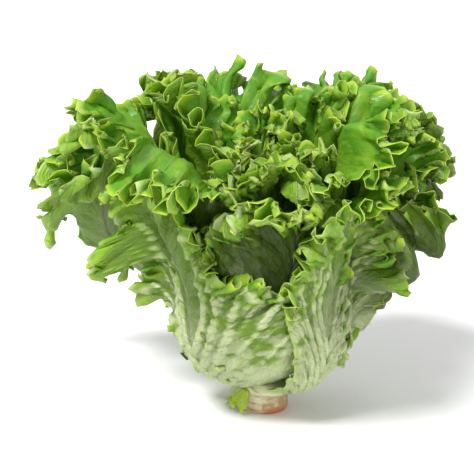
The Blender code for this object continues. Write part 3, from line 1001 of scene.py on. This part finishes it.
class LeafSettings(bpy.types.PropertyGroup):
    blade_thickness: metres("Blade thickness", "Thickness of a blade between its veins", 0.55 * MM)
    outer_rib: metres("Outer rib", "How far an outer leaf's rib stands out at its foot", 2.9 * MM)
    heart_rib: metres("Heart rib", "How far a heart leaf's rib stands out at its foot", 1.7 * MM)
    vein_height: metres("Vein height", "How far the side veins stand out near the rib", 1.5 * MM)
    vein_lift: metres("Vein lift", "How far the blade is drawn out along a side vein", 2.0 * MM)
    pucker_height: metres("Pucker height", "Height of the puckers between the veins", 2.1 * MM)
    column_spacing: metres("Column spacing", "Distance of points along a blade's edge", 1.40 * MM)
    rows: IntProperty(name="Rows", description="Rows of points from rib to edge", default=25)
    foot: tint("Foot", "The pale foot and ribs of a leaf", 0.68, 0.75, 0.43)
    upper_fresh: tint("Upper face", "Upper face in the middle of a blade", 0.215, 0.455, 0.024)
    upper_deep: tint("Upper edge", "Upper face near the edge of a blade", 0.115, 0.340, 0.018)
    under_fresh: tint("Underside", "Underside in the middle of a blade", 0.30, 0.50, 0.036)
    under_deep: tint("Under edge", "Underside near the edge of a blade", 0.28, 0.52, 0.036)
    # Painted highlight: the bright line of light along the thin edge.
    painted_edge_highlight: tint("Edge line", "Thin bright line along the edge", 0.62, 0.80, 0.16)
    sunny: tint("Sunny patches", "Yellower patches and upper edges", 0.50, 0.66, 0.045)
    island: tint("Islands", "Green islands above the foot", 0.23, 0.40, 0.018)
    # Painted shade in the valleys between the underside's veins.
    painted_valley_shade: tint("Valleys", "Underside between its veins", 0.130, 0.235, 0.014)
    # Painted shade: the dark olive of leaves deep in the hollow and on the side away from the light.
    painted_shade_colour: tint("Hollow", "Leaves deep in the hollow", 0.040, 0.074, 0.006)
    vein: tint("Veins", "Veins low on a blade", 0.68, 0.77, 0.43)
    high_vein: tint("High veins", "Veins high on a blade", 0.39, 0.58, 0.07)
    glow: tint("Glow", "Light that comes through a blade", 0.50, 0.72, 0.02)


class StemSettings(bpy.types.PropertyGroup):
    roughness_height: metres("Unevenness", "Height of the bumps on the stem's side", 0.7 * MM)
    stub_thickness: metres("Stub thickness", "Thickness of the torn leaf base", 1.4 * MM)
    stem: tint("Stem", "Stem above the cut", 0.64, 0.58, 0.38)
    cut: tint("Cut", "The dried cut", 0.42, 0.27, 0.13)
    rust: tint("Rust", "Rusty line round the cut", 0.55, 0.14, 0.055)
    band: tint("Bands", "Pale bands round the stem", 0.60, 0.56, 0.42)
    collar: tint("Collar", "Top of the stem under the leaves", 0.56, 0.60, 0.36)
    scar: tint("Scars", "Scars of lost leaves", 0.20, 0.10, 0.045)


class StageSettings(bpy.types.PropertyGroup):
    elevation: FloatProperty(
        name="Camera elevation", description="Its angle above the horizon",
        default=math.radians(14.0), subtype="ANGLE",
    )
    distance: metres("Camera distance", "From it to the middle of its view", 0.761)
    floor: tint("Floor", "The pale floor", 0.86, 0.86, 0.86)


def colours_of(settings):
    """The colours among those settings, by name."""
    values = {name: getattr(settings, name) for name in settings.__annotations__}
    return {name: tuple(value) for name, value in values.items() if hasattr(value, "r")}


def add_floor(colour):
    bpy.ops.object.select_all(action="DESELECT")
    bpy.ops.mesh.primitive_plane_add(size=60.0)
    floor = bpy.context.object
    floor.name = "floor"
    w = Finish("pale_floor", {"plain": colour, "cloudy": tuple(0.98 * c for c in colour)})
    cloud = w.speckle(w.place(), 3.0, 2.0, 0.5)
    w.join(w.blend(cloud, "plain", "cloudy"), w.shader["Base Color"])
    w.shader["Roughness"].default_value = 0.8
    floor.data.materials.append(w.material)


def add_sky():
    world = bpy.data.worlds.new("studio")
    world.use_nodes = True
    sky = world.node_tree.nodes["Background"]
    sky.inputs["Color"].default_value = (1.0, 1.0, 1.0, 1.0)
    sky.inputs["Strength"].default_value = SKY_STRENGTH
    bpy.context.scene.world = world


def add_lamp(name, place, strength, spread):
    """A broad soft light from that side of the head."""
    data = bpy.data.lights.new(name, "SUN")
    data.energy = strength
    data.angle = math.radians(spread)
    lamp = bpy.data.objects.new(name, data)
    bpy.context.scene.collection.objects.link(lamp)
    lamp.location = place
    lamp.rotation_euler = Vector(place).to_track_quat("Z", "Y").to_euler()


def add_camera(elevation, distance):
    """The camera in front of the head, looking down on it."""
    data = bpy.data.cameras.new("camera")
    data.lens = LENS
    data.sensor_width = SENSOR_WIDTH
    camera = bpy.data.objects.new("camera", data)
    bpy.context.scene.collection.objects.link(camera)
    away = Vector((0.0, -math.cos(elevation), math.sin(elevation)))
    target = Vector((VIEW_RIGHT, 0.0, VIEW_UP / math.cos(elevation)))
    camera.location = target + away * distance
    camera.rotation_euler = (-away).to_track_quat("-Z", "Y").to_euler()
    bpy.context.scene.camera = camera


class LETTUCE_OT_stem(bpy.types.Operator):
    """Adds the stem with its cut foot"""

    bl_idname = "lettuce.add_stem"
    bl_label = "Add Stem"

    def execute(self, context):
        add_stem(context.scene.lettuce_stem)
        return {"FINISHED"}


class LETTUCE_OT_torn_base(bpy.types.Operator):
    """Adds the torn stub of a lost leaf"""

    bl_idname = "lettuce.add_torn_base"
    bl_label = "Add Torn Leaf Base"

    def execute(self, context):
        add_torn_base(context.scene.lettuce_stem, colours_of(context.scene.lettuce_leaves))
        return {"FINISHED"}


class LETTUCE_OT_leaves(bpy.types.Operator):
    """Adds every leaf, the outermost first"""

    bl_idname = "lettuce.add_leaves"
    bl_label = "Add Leaves"

    def execute(self, context):
        settings = context.scene.lettuce_leaves
        colours = colours_of(settings)
        kinds = {"outer": (range(INNER_FROM), 1.0), "inner": (range(INNER_FROM, LEAF_COUNT), 0.3)}
        for name, (indices, age) in kinds.items():
            finishes = [
                leaf_finish(f"{name}_leaf_underside", colours, True, age),
                leaf_finish(f"{name}_leaf_upper_face", colours, False, age),
            ]
            for index in indices:
                add_leaf(index, settings, finishes)
        return {"FINISHED"}


class LETTUCE_OT_stage(bpy.types.Operator):
    """Adds the floor, the lights and the camera"""

    bl_idname = "lettuce.add_stage"
    bl_label = "Add Stage"

    def execute(self, context):
        settings = context.scene.lettuce_stage
        add_floor(tuple(settings.floor))
        add_sky()
        for name, (place, strength, spread) in LAMPS.items():
            add_lamp(name, place, strength, spread)
        add_camera(settings.elevation, settings.distance)
        context.scene.view_settings.view_transform = "Standard"
        return {"FINISHED"}


class LETTUCE_PT_panel(bpy.types.Panel):
    """Lists the pieces of the lettuce"""

    bl_label = "Green Leaf Lettuce"
    bl_idname = "LETTUCE_PT_panel"
    bl_space_type = "VIEW_3D"
    bl_region_type = "UI"
    bl_category = "Lettuce"

    def draw(self, context):
        for place, group in GROUPS.items():
            box = self.layout.box()
            for name in group.__annotations__:
                box.prop(getattr(context.scene, place), name)
        for operator in OPERATORS:
            self.layout.operator(operator.bl_idname)


# The settings, by the name of their place in a scene.
GROUPS = {
    "lettuce_leaves": LeafSettings,
    "lettuce_stem": StemSettings,
    "lettuce_stage": StageSettings,
}
OPERATORS = (LETTUCE_OT_stem, LETTUCE_OT_torn_base, LETTUCE_OT_leaves, LETTUCE_OT_stage)
CLASSES = (*GROUPS.values(), *OPERATORS, LETTUCE_PT_panel)


def register():
    for cls in CLASSES:
        bpy.utils.register_class(cls)
    for place, group in GROUPS.items():
        setattr(bpy.types.Scene, place, PointerProperty(type=group))


def unregister():
    for place in GROUPS:
        delattr(bpy.types.Scene, place)
    for cls in reversed(CLASSES):
        bpy.utils.unregister_class(cls)


def main():
    register()
    bpy.ops.lettuce.add_stem()
    bpy.ops.lettuce.add_torn_base()
    bpy.ops.lettuce.add_leaves()
    bpy.ops.lettuce.add_stage()


if __name__ == "__main__":
    main()
